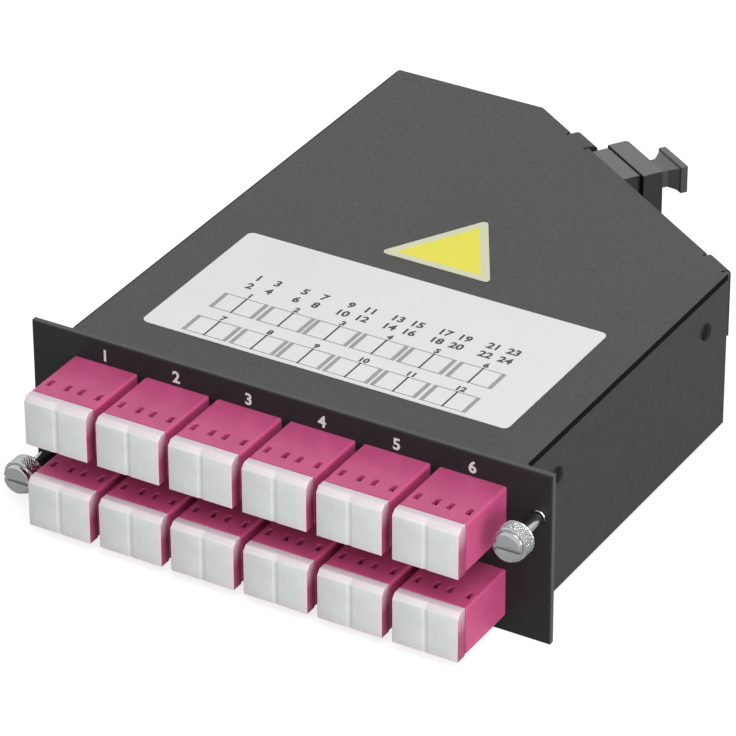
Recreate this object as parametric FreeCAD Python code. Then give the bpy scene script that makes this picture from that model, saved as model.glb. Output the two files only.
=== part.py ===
import FreeCAD, Part
import math
import os

# Fibre cassette: a folded steel tray and lid behind a narrow front plate. Twelve duplex
# adapters in two rows fill the plate, one multi-fibre adapter leaves the angled rear wall,
# and a loop of fibre joins the two inside. Millimetres.
# Axes: +X to the right seen from the front, +Y backwards, +Z up. The origin is the centre
# of the front plate's rear face, which seats against the rack.

# Front plate. Its width follows from the captive screws beside the housing.
PLATE_HEIGHT = 33.2
PLATE_THICKNESS = 1.2
PLATE_EDGE_BREAK = 0.2
PLATE_SCREW_MARGIN = 2.7

# Grid of duplex adapters
PORT_COLUMNS = 6
PORT_PITCH = 14.5
ROW_SPACING = 16.35
GRID_DROP = 0.88
WINDOW_CLEARANCE = 0.1

# Duplex adapter
ADAPTER_WIDTH = 12.9
ADAPTER_HEIGHT = 9.3
ADAPTER_FRONT_REACH = 13.2
ADAPTER_REAR_REACH = 11.5
ADAPTER_EDGE_RADIUS = 0.5
ADAPTER_LIP_WIDTH = 9.0
ADAPTER_LIP_HEIGHT = 0.7
ADAPTER_LIP_THICKNESS = 1.5
PORT_SPACING = 6.25
PORT_SIZE = 4.7
PORT_DROP = 0.8
PORT_DEPTH = 9.5
LATCH_CHANNEL_WIDTH = 3.4
LATCH_CHANNEL_HEIGHT = 2.05
LATCH_WINDOW_SPACING = 3.56
LATCH_WINDOW_WIDTH = 1.0
LATCH_WINDOW_LENGTH = 2.0
LATCH_WINDOW_SETBACK = 2.6
FERRULE_DIAMETER = 1.25
SLEEVE_CLEARANCE = 0.01

# Duplex dust cap
CAP_WIDTH = 12.6
CAP_HEIGHT = 9.5
CAP_THICKNESS = 2.5
CAP_DROP = 0.1
CAP_SEAT_GAP = 0.1
CAP_BEVEL = 0.9
CAP_GROOVE_WIDTH = 0.5
CAP_GROOVE_DEPTH = 0.7
CAP_PEG_LENGTH = 7.5
PEG_CLEARANCE = 0.05

# Duplex plug inside the housing
PLUG_CLEARANCE = 0.1
PLUG_LENGTH = 17.4
PLUG_LATCH_WIDTH = 2.4
PLUG_LATCH_HEIGHT = 1.6
PLUG_LATCH_LENGTH = 13.0
PLUG_CLIP_WIDTH = 10.9
PLUG_CLIP_HEIGHT = 5.2
PLUG_CLIP_LENGTH = 4.5
PLUG_CLIP_SETBACK = 1.0
PLUG_BOOT_LENGTH = 12.0
PLUG_BOOT_ROOT = 4.0
PLUG_BOOT_TIP = 2.6

# Housing. Its sides and floor lie at these gaps from the outermost adapters.
SHEET = 0.8
LEFT_WALL_GAP = 0.1
RIGHT_WALL_GAP = 2.5
FLOOR_GAP = 0.1
HOUSING_DEPTH = 112.5
CHAMFER_START_X = -12.5
CHAMFER_END_Y = 73.7
FLOOR_BEND_RADIUS = 1.0
CORNER_SEAM = 0.3
EAR_LENGTH = 4.6
EAR_HEIGHT = 14.0
EAR_OFFSET = 5.5

# Lid
LID_SHEET = 0.8
LID_SEAM_GAP = 0.3
LID_FLANGE_DEPTH = 9.5
LID_FLANGE_GAP = 0.1
LID_FLANGE_SETBACK = 2.0
LID_TAB_WIDTH = 6.1
LID_TAB_DEPTH = 13.7
LID_TAB_BEND_RADIUS = 1.2
LEFT_TAB_SETBACK = 14.5
LEFT_TAB_STANDOFF = 1.4
RIGHT_TAB_SETBACK = 4.5
RIGHT_TAB_STANDOFF = 0.35
TAB_RELIEF_WIDTH = 0.5
TAB_RELIEF_DEPTH = 1.0

# Lid screws: behind the plate or before the wall's rear end, and below the lid's top
RIGHT_SCREW_FRONT = 10.5
RIGHT_SCREW_SETBACK = 8.6
LEFT_SCREW_FRONT = 40.8
LEFT_SCREW_SETBACK = 19.7
LID_SCREW_DROP = 7.6
LID_SCREW_DIAMETER = 2.2
LID_SCREW_LENGTH = 2.6
LID_SCREW_HEAD = 3.2
LID_SCREW_HEAD_HEIGHT = 0.5
LID_SCREW_HOLE_CLEARANCE = 0.15

# Captive thumb screws
SCREW_WALL_GAP = 2.6
SCREW_OFFSET_Z = 8.7
SHANK_DIAMETER = 3.0
SHANK_CLEARANCE = 0.05
SCREW_STANDOFF = 5.6
SCREW_TIP_REACH = 2.5
SCREW_TIP_BEVEL = 0.5
NOSE_DIAMETER = 5.4
NOSE_LENGTH = 1.0
HEAD_DIAMETER = 6.4
HEAD_LENGTH = 3.2
COLLAR_DIAMETER = 4.4
COLLAR_LENGTH = 1.0
HEAD_EDGE_BREAK = 0.3
HEAD_SLOT_WIDTH = 0.8
HEAD_SLOT_DEPTH = 0.8
RING_DIAMETER = 4.6
RING_THICKNESS = 0.6
RING_MOUTH = 1.6
RING_GROOVE_DIAMETER = 2.2
RING_CLEARANCE = 0.05
RING_SEAT_GAP = 0.1

# Multi-fibre adapter in the angled rear wall
MPO_ALONG = 24.4
MPO_LID_GAP = 0.45
MPO_WIDTH = 12.0
MPO_HEIGHT = 8.6
MPO_OUTER_WIDTH = 13.6
MPO_OUTER_HEIGHT = 8.9
MPO_REACH = 8.4
MPO_SEAM_OUT = 3.85
MPO_SEAM_WIDTH = 0.4
MPO_SEAM_DEPTH = 0.4
MPO_CORNER_BEVEL = 0.5
MPO_INNER_WIDTH = 11.2
MPO_INNER_HEIGHT = 7.3
MPO_INNER_REACH = 11.3
MPO_SOCKET_WIDTH = 9.6
MPO_SOCKET_HEIGHT = 6.4
MPO_SOCKET_DEPTH = 8.0
MPO_KEY_WIDTH = 3.0
MPO_KEY_HEIGHT = 0.6
MPO_FERRULE_WIDTH = 6.6
MPO_FERRULE_HEIGHT = 2.7

# Multi-fibre dust cap
MPO_CAP_PLUG_LENGTH = 6.0
MPO_CAP_NECK_WIDTH = 5.0
MPO_CAP_NECK_HEIGHT = 3.6
MPO_CAP_NECK_LENGTH = 5.2
MPO_CAP_GRIP_WIDTH = 8.7
MPO_CAP_GRIP_HEIGHT = 5.5
MPO_CAP_GRIP_LENGTH = 1.5
MPO_CAP_FLARE_LENGTH = 1.8
MPO_CAP_FLARE_EDGE = 0.4

# Multi-fibre plug inside the housing
MPO_PLUG_LENGTH = 13.6
MPO_BOOT_LENGTH = 11.0
MPO_BOOT_ROOT = 6.0
MPO_BOOT_TIP = 3.2

# Fibre loop and its guides. The loop fills the floor from the plugs to the angled wall.
TRUNK_DIAMETER = 2.4
LOOP_DIAMETER = 3.2
LOOP_CENTRE_X = -6.0
LOOP_GAP = 3.5
LOOP_ABOVE_FLOOR = 0.6
TRUNK_LEAD = 10.0
# Corners of the trunk on its way down: angle round the loop, distance inside it, height above
TRUNK_WAY = (
    (225.0, 13.2, 21.0),
    (258.0, 8.1, 16.5),
    (289.0, 5.2, 11.5),
    (318.0, 4.3, 6.5),
    (346.0, 3.8, 2.0),
    (10.0, 0, 0),
)
BEND_SHARE = 0.45
GUIDE_ANGLES = (45.0, 135.0, 225.0, 315.0)
GUIDE_WIDTH = 8.0
GUIDE_LENGTH = 5.0
GUIDE_CLEARANCE = 0.1

# Labels stuck on the lid
LABEL_THICKNESS = 0.15
LABEL_WIDTH = 72.3
LABEL_DEPTH = 36.1
LABEL_CENTRE_X = 1.4
LABEL_FRONT_Y = 8.1
LABEL_CORNER_RADIUS = 1.2
TRIANGLE_SIDE = 22.5
TRIANGLE_GAP = 5.4
TRIANGLE_CORNER_RADIUS = 0.8

# Places worked out from the sizes above
V = FreeCAD.Vector
PLATE_FRONT = -PLATE_THICKNESS
ADAPTER_FRONT = PLATE_FRONT - ADAPTER_FRONT_REACH
GRID_HALF_WIDTH = ((PORT_COLUMNS - 1) * PORT_PITCH + ADAPTER_WIDTH) / 2
GRID_BOTTOM = -(ROW_SPACING + ADAPTER_HEIGHT) / 2 - GRID_DROP
HOUSING_LEFT = GRID_HALF_WIDTH + LEFT_WALL_GAP + SHEET
HOUSING_RIGHT = GRID_HALF_WIDTH + RIGHT_WALL_GAP + SHEET
FLOOR_TOP = GRID_BOTTOM - FLOOR_GAP
FLOOR_BOTTOM = FLOOR_TOP - SHEET
SCREW_OFFSET_X = HOUSING_RIGHT + SCREW_WALL_GAP
PLATE_WIDTH = 2 * (SCREW_OFFSET_X + PLATE_SCREW_MARGIN)
LID_TOP = PLATE_HEIGHT / 2
LID_BOTTOM = LID_TOP - LID_SHEET
WALL_TOP = LID_BOTTOM - LID_SEAM_GAP
MPO_Z = LID_BOTTOM - MPO_LID_GAP - MPO_INNER_HEIGHT / 2
LID_SCREW_Z = LID_TOP - LID_SCREW_DROP
CHAMFER_RUN = HOUSING_RIGHT - CHAMFER_START_X
CHAMFER_FALL = HOUSING_DEPTH - CHAMFER_END_Y
CHAMFER_ANGLE = -math.atan2(CHAMFER_FALL, CHAMFER_RUN)
CHAMFER_LENGTH = math.hypot(CHAMFER_FALL, CHAMFER_RUN)
LID_TABS = (
    (LEFT_TAB_SETBACK, LEFT_TAB_STANDOFF),
    (CHAMFER_LENGTH - RIGHT_TAB_SETBACK, RIGHT_TAB_STANDOFF),
)
PLUG_FRONT = ADAPTER_REAR_REACH - PORT_DEPTH + PLUG_CLEARANCE
LOOP_FRONT = PLUG_FRONT + PLUG_LENGTH + PLUG_BOOT_LENGTH + LOOP_GAP
LOOP_HEIGHT = FLOOR_TOP + LOOP_ABOVE_FLOOR + LOOP_DIAMETER / 2


def block(low, high):
    """A box between two opposite corners."""
    size = V(*high) - V(*low)
    return Part.makeBox(size.x, size.y, size.z, V(*low))


def centred_block(x, z, width, height, front, back):
    """A box centred on (x, z) that runs from front to back along Y."""
    return block((x - width / 2, front, z - height / 2), (x + width / 2, back, z + height / 2))


def rod(x, z, diameter, front, back):
    """A round rod along Y."""
    return Part.makeCylinder(diameter / 2, back - front, V(x, front, z), V(0, 1, 0))


def cone(x, z, front_diameter, back_diameter, front, back):
    """A round taper along Y."""
    return Part.makeCone(front_diameter / 2, back_diameter / 2, back - front, V(x, front, z), V(0, 1, 0))


def prism(points, low, high):
    """A straight-sided solid over a plan outline."""
    corners = [V(x, y, low) for x, y in points]
    face = Part.Face(Part.makePolygon(corners + corners[:1]))
    return face.extrude(V(0, 0, high - low))


def turned(profile, x, z):
    """A solid of revolution about a line along Y, from (radius, y) points."""
    corners = [V(x + radius, y, z) for radius, y in profile]
    face = Part.Face(Part.makePolygon(corners + corners[:1]))
    return face.revolve(V(x, 0, z), V(0, 1, 0), 360)


def round_edges(shape, radius, wanted):
    """Round the straight edges whose two ends both pass the test."""
    edges = [e for e in shape.Edges if len(e.Vertexes) == 2 and all(wanted(v.Point) for v in e.Vertexes)]
    return shape.makeFillet(radius, edges)


def bevel_edges(shape, size, wanted):
    """Bevel the straight edges whose two ends both pass the test."""
    edges = [e for e in shape.Edges if len(e.Vertexes) == 2 and all(wanted(v.Point) for v in e.Vertexes)]
    return shape.makeChamfer(size, edges)


def same(a, b):
    return abs(a - b) < 1e-6


def on_chamfer(shape):
    """Move a shape from the angled wall's own axes: x along it from the left, y outwards."""
    turn = FreeCAD.Rotation(V(0, 0, 1), math.degrees(CHAMFER_ANGLE))
    shape.Placement = FreeCAD.Placement(V(CHAMFER_START_X, HOUSING_DEPTH, 0), turn)
    return shape


def loop_radius():
    """The largest loop whose front and whose guides keep the gap to the plugs and the angled wall."""
    across = (CHAMFER_START_X - LOOP_CENTRE_X) * math.sin(-CHAMFER_ANGLE)
    back = (HOUSING_DEPTH - LOOP_FRONT - LOOP_DIAMETER / 2) * math.cos(CHAMFER_ANGLE)
    taken = SHEET + LOOP_GAP + GUIDE_WIDTH / 2
    return (across + back - taken) / (1 + math.cos(CHAMFER_ANGLE))


def loop_centre():
    return V(LOOP_CENTRE_X, LOOP_FRONT + LOOP_DIAMETER / 2 + loop_radius(), LOOP_HEIGHT)


def port_places():
    """Name suffix, x and z of each duplex adapter, upper row first, left to right."""
    places = []
    for row, side in enumerate((1, -1)):
        for column in range(PORT_COLUMNS):
            x = (column - (PORT_COLUMNS - 1) / 2) * PORT_PITCH
            z = side * ROW_SPACING / 2 - GRID_DROP
            places.append(("%02d" % (row * PORT_COLUMNS + column + 1), x, z))
    return places


def screw_places():
    """Name suffix, x and z of each captive screw."""
    return (
        ("left", -SCREW_OFFSET_X, -SCREW_OFFSET_Z - GRID_DROP),
        ("right", SCREW_OFFSET_X, SCREW_OFFSET_Z - GRID_DROP),
    )


def front_plate():
    plate = centred_block(0, 0, PLATE_WIDTH, PLATE_HEIGHT, PLATE_FRONT, 0)
    plate = bevel_edges(plate, PLATE_EDGE_BREAK, lambda p: same(p.y, PLATE_FRONT))
    width = ADAPTER_WIDTH + 2 * WINDOW_CLEARANCE
    height = ADAPTER_HEIGHT + 2 * WINDOW_CLEARANCE
    windows = [centred_block(x, z, width, height, PLATE_FRONT - 1, 1) for _, x, z in port_places()]
    diameter = SHANK_DIAMETER + 2 * SHANK_CLEARANCE
    holes = [rod(x, z, diameter, PLATE_FRONT - 1, 1) for _, x, z in screw_places()]
    return plate.cut(windows + holes)


def port_centres(x, z):
    """Centres of an adapter's two ports."""
    return [(x + side * PORT_SPACING / 2, z - PORT_DROP) for side in (-1, 1)]


def lc_adapter(x, z):
    """Duplex adapter: two square ports at each end, joined by fine bores for the ferrules."""
    back = ADAPTER_REAR_REACH
    body = centred_block(x, z, ADAPTER_WIDTH, ADAPTER_HEIGHT, ADAPTER_FRONT, back)
    body = round_long_edges(body)
    lip_height = ADAPTER_HEIGHT + 2 * ADAPTER_LIP_HEIGHT
    body = body.fuse(centred_block(x, z, ADAPTER_LIP_WIDTH, lip_height, 0, ADAPTER_LIP_THICKNESS))
    cuts = []
    for port_x, port_z in port_centres(x, z):
        channel_z = port_z + (PORT_SIZE + LATCH_CHANNEL_HEIGHT) / 2
        for front, end in ((ADAPTER_FRONT, ADAPTER_FRONT + PORT_DEPTH), (back - PORT_DEPTH, back)):
            cuts.append(centred_block(port_x, port_z, PORT_SIZE, PORT_SIZE, front, end))
            cuts.append(
                centred_block(port_x, channel_z, LATCH_CHANNEL_WIDTH, LATCH_CHANNEL_HEIGHT, front, end)
            )
        cuts.append(rod(port_x, port_z, FERRULE_DIAMETER + 2 * SLEEVE_CLEARANCE, ADAPTER_FRONT, back))
        cuts += latch_windows(port_x, z)
    return body.cut(cuts)


def round_long_edges(body):
    """Round a block's four edges that run along Y."""
    edges = []
    for edge in body.Edges:
        first, last = edge.Vertexes
        if same(first.X, last.X) and same(first.Z, last.Z):
            edges.append(edge)
    return body.makeFillet(ADAPTER_EDGE_RADIUS, edges)


def latch_windows(port_x, z):
    """Two slots through an adapter's top, where a plug's latch catches."""
    front = ADAPTER_FRONT + LATCH_WINDOW_SETBACK
    top = z + ADAPTER_HEIGHT / 2
    low = z - PORT_DROP
    slots = []
    for side in (-1, 1):
        left = port_x + (side * LATCH_WINDOW_SPACING - LATCH_WINDOW_WIDTH) / 2
        high = (left + LATCH_WINDOW_WIDTH, front + LATCH_WINDOW_LENGTH, top + 1)
        slots.append(block((left, front, low), high))
    return slots


def lc_dust_cap(x, z):
    """Duplex dust cap: a bevelled front with a groove down its middle and two pegs."""
    back = ADAPTER_FRONT - CAP_SEAT_GAP
    front = back - CAP_THICKNESS
    centre = z - CAP_DROP
    top = centre + CAP_HEIGHT / 2
    cap = centred_block(x, centre, CAP_WIDTH, CAP_HEIGHT, front, back)
    cap = bevel_edges(cap, CAP_BEVEL, lambda p: same(p.y, front) and same(p.z, top))
    groove = centred_block(x, centre, CAP_GROOVE_WIDTH, CAP_HEIGHT + 1, front - 1, front + CAP_GROOVE_DEPTH)
    cap = cap.cut(groove)
    end = ADAPTER_FRONT + CAP_PEG_LENGTH
    size = PORT_SIZE - 2 * PEG_CLEARANCE
    pegs = [centred_block(port_x, port_z, size, size, back, end) for port_x, port_z in port_centres(x, z)]
    return cap.fuse(pegs).removeSplitter()


def lc_plug_pair(x, z):
    """Two plugs in an adapter's rear ports, held side by side by one clip."""
    front = PLUG_FRONT
    back = front + PLUG_LENGTH
    size = PORT_SIZE - 2 * PLUG_CLEARANCE
    clip_back = back - PLUG_CLIP_SETBACK
    clip_front = clip_back - PLUG_CLIP_LENGTH
    pair = centred_block(x, z - PORT_DROP, PLUG_CLIP_WIDTH, PLUG_CLIP_HEIGHT, clip_front, clip_back)
    ferrule_front = (ADAPTER_FRONT + ADAPTER_REAR_REACH) / 2
    for port_x, port_z in port_centres(x, z):
        latch_z = port_z + (size + PLUG_LATCH_HEIGHT) / 2
        latch_end = front + PLUG_LATCH_LENGTH
        pair = pair.fuse(
            [
                centred_block(port_x, port_z, size, size, front, back),
                centred_block(port_x, latch_z, PLUG_LATCH_WIDTH, PLUG_LATCH_HEIGHT, front + 1, latch_end),
                rod(port_x, port_z, FERRULE_DIAMETER, ferrule_front, front + 1),
                cone(port_x, port_z, PLUG_BOOT_ROOT, PLUG_BOOT_TIP, back, back + PLUG_BOOT_LENGTH),
            ]
        )
    return pair.removeSplitter()


def housing_outline(inset, front):
    """Plan corners of the housing, moved inwards by a distance, from the front left."""
    slope = math.tan(CHAMFER_ANGLE)
    shift = inset / math.cos(CHAMFER_ANGLE)
    left = inset - HOUSING_LEFT
    right = HOUSING_RIGHT - inset
    rear = HOUSING_DEPTH - inset
    start_x = CHAMFER_START_X + (shift - inset) / slope
    end_y = HOUSING_DEPTH + (right - CHAMFER_START_X) * slope - shift
    return [(left, front), (right, front), (right, end_y), (start_x, rear), (left, rear)]


def mpo_window():
    """Open-topped notch in the angled wall for the multi-fibre adapter."""
    half = MPO_INNER_WIDTH / 2 + WINDOW_CLEARANCE
    low = MPO_Z - MPO_INNER_HEIGHT / 2 - WINDOW_CLEARANCE
    return on_chamfer(block((MPO_ALONG - half, -2 * SHEET, low), (MPO_ALONG + half, SHEET, WALL_TOP + 1)))


def corner_seams():
    """Narrow slits where the tray's folded walls meet, at its three rear corners."""
    seams = []
    corners = zip(housing_outline(0, 0)[2:], housing_outline(SHEET, 0)[2:])
    for (x, y), (inner_x, inner_y) in corners:
        angle = math.degrees(math.atan2(y - inner_y, x - inner_x))
        slit = block((-3 * SHEET, -CORNER_SEAM / 2, FLOOR_TOP), (SHEET, CORNER_SEAM / 2, WALL_TOP + 1))
        slit.Placement = FreeCAD.Placement(V(x, y, 0), FreeCAD.Rotation(V(0, 0, 1), angle))
        seams.append(slit)
    return seams


def tray_ears():
    """Two tabs folded outwards that join the tray to the plate's rear face, clear of the screws."""
    near = EAR_OFFSET - EAR_HEIGHT / 2
    far = EAR_OFFSET + EAR_HEIGHT / 2
    right = block((HOUSING_RIGHT - SHEET, 0, -far), (HOUSING_RIGHT + EAR_LENGTH, SHEET, -near))
    left = block((-HOUSING_LEFT - EAR_LENGTH, 0, near), (SHEET - HOUSING_LEFT, SHEET, far))
    return [right, left]


def lip_notches():
    """Notches in the floor's front edge for the lower adapters' lips."""
    notches = []
    width = ADAPTER_LIP_WIDTH + 4 * WINDOW_CLEARANCE
    depth = ADAPTER_LIP_THICKNESS + 2 * WINDOW_CLEARANCE
    for _, x, z in port_places()[PORT_COLUMNS:]:
        notches.append(block((x - width / 2, -1, FLOOR_BOTTOM - 1), (x + width / 2, depth, FLOOR_TOP)))
    return notches


def side_screw_places():
    """Wall position, outward direction, y and z of each lid screw."""
    return (
        (HOUSING_RIGHT, 1, RIGHT_SCREW_FRONT, LID_SCREW_Z),
        (HOUSING_RIGHT, 1, CHAMFER_END_Y - RIGHT_SCREW_SETBACK, LID_SCREW_Z),
        (-HOUSING_LEFT, -1, LEFT_SCREW_FRONT, LID_SCREW_Z),
        (-HOUSING_LEFT, -1, HOUSING_DEPTH - LEFT_SCREW_SETBACK, LID_SCREW_Z),
    )


def side_rod(wall, out, y, z, diameter, inner, outer):
    """A round rod across a side wall, between two distances outwards from its face."""
    return Part.makeCylinder(diameter / 2, outer - inner, V(wall + out * inner, y, z), V(out, 0, 0))


def base_tray():
    """Floor, two sides, rear wall and angled wall, folded from one sheet."""
    outer = prism(housing_outline(0, 0), FLOOR_BOTTOM, WALL_TOP)
    bottom_edges = [
        e for e in outer.Edges
        if all(same(v.Z, FLOOR_BOTTOM) for v in e.Vertexes) and not all(same(v.Y, 0) for v in e.Vertexes)
    ]
    tray = outer.makeFillet(FLOOR_BEND_RADIUS, bottom_edges)
    tray = tray.cut(prism(housing_outline(SHEET, -1), FLOOR_TOP, WALL_TOP + 1))
    tray = tray.fuse(tray_ears())
    diameter = LID_SCREW_DIAMETER + 2 * LID_SCREW_HOLE_CLEARANCE
    holes = [side_rod(*place, diameter, -2 * SHEET, SHEET) for place in side_screw_places()]
    return tray.cut(holes + corner_seams() + lip_notches() + [mpo_window()])


def lid_tab(along, standoff):
    """One tab folded down outside the angled wall, in that wall's own axes."""
    outer_face = standoff + LID_SHEET
    left = along - LID_TAB_WIDTH / 2
    right = along + LID_TAB_WIDTH / 2
    tab = block((left, -TAB_RELIEF_DEPTH, LID_TOP - LID_TAB_DEPTH), (right, outer_face, LID_TOP))
    tab = round_edges(tab, LID_TAB_BEND_RADIUS, lambda p: same(p.y, outer_face) and same(p.z, LID_TOP))
    inner_low = (left - 1, -2 * TAB_RELIEF_DEPTH, FLOOR_BOTTOM)
    inner = block(inner_low, (right + 1, standoff, LID_BOTTOM))
    bend = LID_TAB_BEND_RADIUS - LID_SHEET
    inner = round_edges(inner, bend, lambda p: same(p.y, standoff) and same(p.z, LID_BOTTOM))
    return tab.cut(inner)


def tab_reliefs(along):
    """Slots in the lid's edge on both sides of a tab."""
    slots = []
    for side in (-1, 1):
        middle = along + side * (LID_TAB_WIDTH + TAB_RELIEF_WIDTH) / 2
        left = middle - TAB_RELIEF_WIDTH / 2
        right = middle + TAB_RELIEF_WIDTH / 2
        slots.append(block((left, -TAB_RELIEF_DEPTH, LID_BOTTOM - 1), (right, SHEET, LID_TOP + 1)))
    return slots


def lid_flanges():
    """Flanges folded down just inside the two side walls and the rear wall."""
    inset = SHEET + LID_FLANGE_GAP
    outline = housing_outline(inset, 0)
    right, right_end = outline[2]
    start_x, rear = outline[3]
    left = outline[0][0]
    low = LID_BOTTOM - LID_FLANGE_DEPTH
    left_front = ADAPTER_REAR_REACH + LID_FLANGE_SETBACK
    left_back = rear - LID_FLANGE_SETBACK
    right_back = right_end - LID_FLANGE_SETBACK
    rear_left = left + LID_FLANGE_SETBACK
    rear_right = start_x - LID_FLANGE_SETBACK
    return [
        block((right - LID_SHEET, LID_FLANGE_SETBACK, low), (right, right_back, LID_TOP)),
        block((left, left_front, low), (left + LID_SHEET, left_back, LID_TOP)),
        block((rear_left, rear - LID_SHEET, low), (rear_right, rear, LID_TOP)),
    ]


def lid():
    """Flat cover with flanges inside the tray's walls and two tabs outside the angled wall."""
    cover = prism(housing_outline(0, 0), LID_BOTTOM, LID_TOP)
    reliefs = [on_chamfer(slot) for along, _ in LID_TABS for slot in tab_reliefs(along)]
    cover = cover.cut(reliefs)
    cover = cover.fuse(lid_flanges() + [on_chamfer(lid_tab(*tab)) for tab in LID_TABS])
    holes = [side_rod(*place, LID_SCREW_DIAMETER, -LID_SCREW_LENGTH, 0) for place in side_screw_places()]
    return cover.removeSplitter().cut(holes)


def lid_screws():
    """Four low-headed screws that hold the lid's flanges to the side walls."""
    screws = []
    for place in side_screw_places():
        shank = side_rod(*place, LID_SCREW_DIAMETER, -LID_SCREW_LENGTH, 0)
        head = side_rod(*place, LID_SCREW_HEAD, 0, LID_SCREW_HEAD_HEIGHT)
        screws.append(shank.fuse(head))
    return Part.makeCompound(screws)


def thumb_screw(x, z):
    """Captive screw: bevelled nose, round head, collar and threaded shank with a ring groove."""
    collar_back = PLATE_FRONT - SCREW_STANDOFF
    head_back = collar_back - COLLAR_LENGTH
    head_front = head_back - HEAD_LENGTH
    front = head_front - NOSE_LENGTH
    groove_front = RING_SEAT_GAP - RING_CLEARANCE
    groove_back = RING_SEAT_GAP + RING_THICKNESS + RING_CLEARANCE
    shank = SHANK_DIAMETER / 2
    nose = NOSE_DIAMETER / 2
    head = HEAD_DIAMETER / 2
    profile = [
        (0, front),
        (nose - HEAD_EDGE_BREAK, front),
        (nose, front + HEAD_EDGE_BREAK),
        (nose, head_front),
        (head - HEAD_EDGE_BREAK, head_front),
        (head, head_front + HEAD_EDGE_BREAK),
        (head, head_back - HEAD_EDGE_BREAK),
        (head - HEAD_EDGE_BREAK, head_back),
        (COLLAR_DIAMETER / 2, head_back),
        (COLLAR_DIAMETER / 2, collar_back),
        (shank, collar_back),
        (shank, groove_front),
        (RING_GROOVE_DIAMETER / 2, groove_front),
        (RING_GROOVE_DIAMETER / 2, groove_back),
        (shank, groove_back),
        (shank, SCREW_TIP_REACH - SCREW_TIP_BEVEL),
        (shank - SCREW_TIP_BEVEL, SCREW_TIP_REACH),
        (0, SCREW_TIP_REACH),
    ]
    slot = centred_block(x, z, HEAD_DIAMETER, HEAD_SLOT_WIDTH, front - 1, front + HEAD_SLOT_DEPTH)
    return turned(profile, x, z).cut(slot)


def retaining_ring(x, z):
    """Open snap ring in the screw's groove, just behind the plate."""
    front = RING_SEAT_GAP
    back = front + RING_THICKNESS
    ring = rod(x, z, RING_DIAMETER, front, back)
    bore = rod(x, z, RING_GROOVE_DIAMETER + 2 * RING_CLEARANCE, front - 1, back + 1)
    mouth = block((x - RING_MOUTH / 2, front - 1, z - RING_DIAMETER), (x + RING_MOUTH / 2, back + 1, z))
    return ring.cut([bore, mouth])


def mpo_adapter():
    """Multi-fibre adapter through the angled wall: a socket at each end and a key slot."""
    z = MPO_Z
    seam_end = MPO_SEAM_OUT + MPO_SEAM_WIDTH
    rear = centred_block(MPO_ALONG, z, MPO_OUTER_WIDTH, MPO_OUTER_HEIGHT, seam_end, MPO_REACH)
    rear = bevel_edges(rear, MPO_CORNER_BEVEL, lambda p: same(p.y, MPO_REACH) and p.x < MPO_ALONG)
    core_width = MPO_WIDTH - 2 * MPO_SEAM_DEPTH
    core_height = MPO_HEIGHT - 2 * MPO_SEAM_DEPTH
    body = centred_block(MPO_ALONG, z, MPO_WIDTH, MPO_HEIGHT, 0, MPO_SEAM_OUT).fuse(
        [
            centred_block(MPO_ALONG, z, core_width, core_height, MPO_SEAM_OUT, seam_end),
            rear,
            centred_block(MPO_ALONG, z, MPO_INNER_WIDTH, MPO_INNER_HEIGHT, -MPO_INNER_REACH, 0),
        ]
    )
    socket_floor = MPO_REACH - MPO_SOCKET_DEPTH
    inner_floor = MPO_SOCKET_DEPTH - MPO_INNER_REACH
    key_z = z + (MPO_SOCKET_HEIGHT + MPO_KEY_HEIGHT) / 2
    cuts = [
        centred_block(MPO_ALONG, z, MPO_SOCKET_WIDTH, MPO_SOCKET_HEIGHT, socket_floor, MPO_REACH),
        centred_block(MPO_ALONG, z, MPO_SOCKET_WIDTH, MPO_SOCKET_HEIGHT, -MPO_INNER_REACH, inner_floor),
        centred_block(MPO_ALONG, z, MPO_FERRULE_WIDTH, MPO_FERRULE_HEIGHT, inner_floor, socket_floor),
        centred_block(MPO_ALONG, key_z, MPO_KEY_WIDTH, MPO_KEY_HEIGHT, socket_floor, MPO_REACH),
    ]
    return on_chamfer(body.cut(cuts))


def upright_frame(x, z, width, height, y):
    """A closed rectangle across Y, centred on (x, z)."""
    half = width / 2
    corners = [V(x + side * half, y, z + end * height / 2) for side, end in ((-1, -1), (1, -1), (1, 1), (-1, 1))]
    return Part.makePolygon(corners + corners[:1])


def mpo_dust_cap():
    """Dust cap: a block that fills the socket, a narrow neck that flares, and a wider grip."""
    z = MPO_Z
    neck_end = MPO_REACH + MPO_CAP_NECK_LENGTH
    grip_end = neck_end + MPO_CAP_GRIP_LENGTH
    flare_front = neck_end - MPO_CAP_FLARE_LENGTH
    neck = centred_block(MPO_ALONG, z, MPO_CAP_NECK_WIDTH, MPO_CAP_NECK_HEIGHT, MPO_REACH - 1, flare_front)
    grip = centred_block(MPO_ALONG, z, MPO_CAP_GRIP_WIDTH, MPO_CAP_GRIP_HEIGHT, neck_end, grip_end)
    flare_width = MPO_CAP_GRIP_WIDTH - 2 * MPO_CAP_FLARE_EDGE
    flare_height = MPO_CAP_GRIP_HEIGHT - 2 * MPO_CAP_FLARE_EDGE
    narrow = upright_frame(MPO_ALONG, z, MPO_CAP_NECK_WIDTH, MPO_CAP_NECK_HEIGHT, flare_front)
    wide = upright_frame(MPO_ALONG, z, flare_width, flare_height, neck_end)
    flare = Part.makeLoft([narrow, wide], True, True)
    plug = centred_block(
        MPO_ALONG,
        z,
        MPO_SOCKET_WIDTH - 2 * PEG_CLEARANCE,
        MPO_SOCKET_HEIGHT - 2 * PEG_CLEARANCE,
        MPO_REACH - MPO_CAP_PLUG_LENGTH,
        MPO_REACH,
    )
    return on_chamfer(plug.fuse([neck, flare, grip]).removeSplitter())


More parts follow.
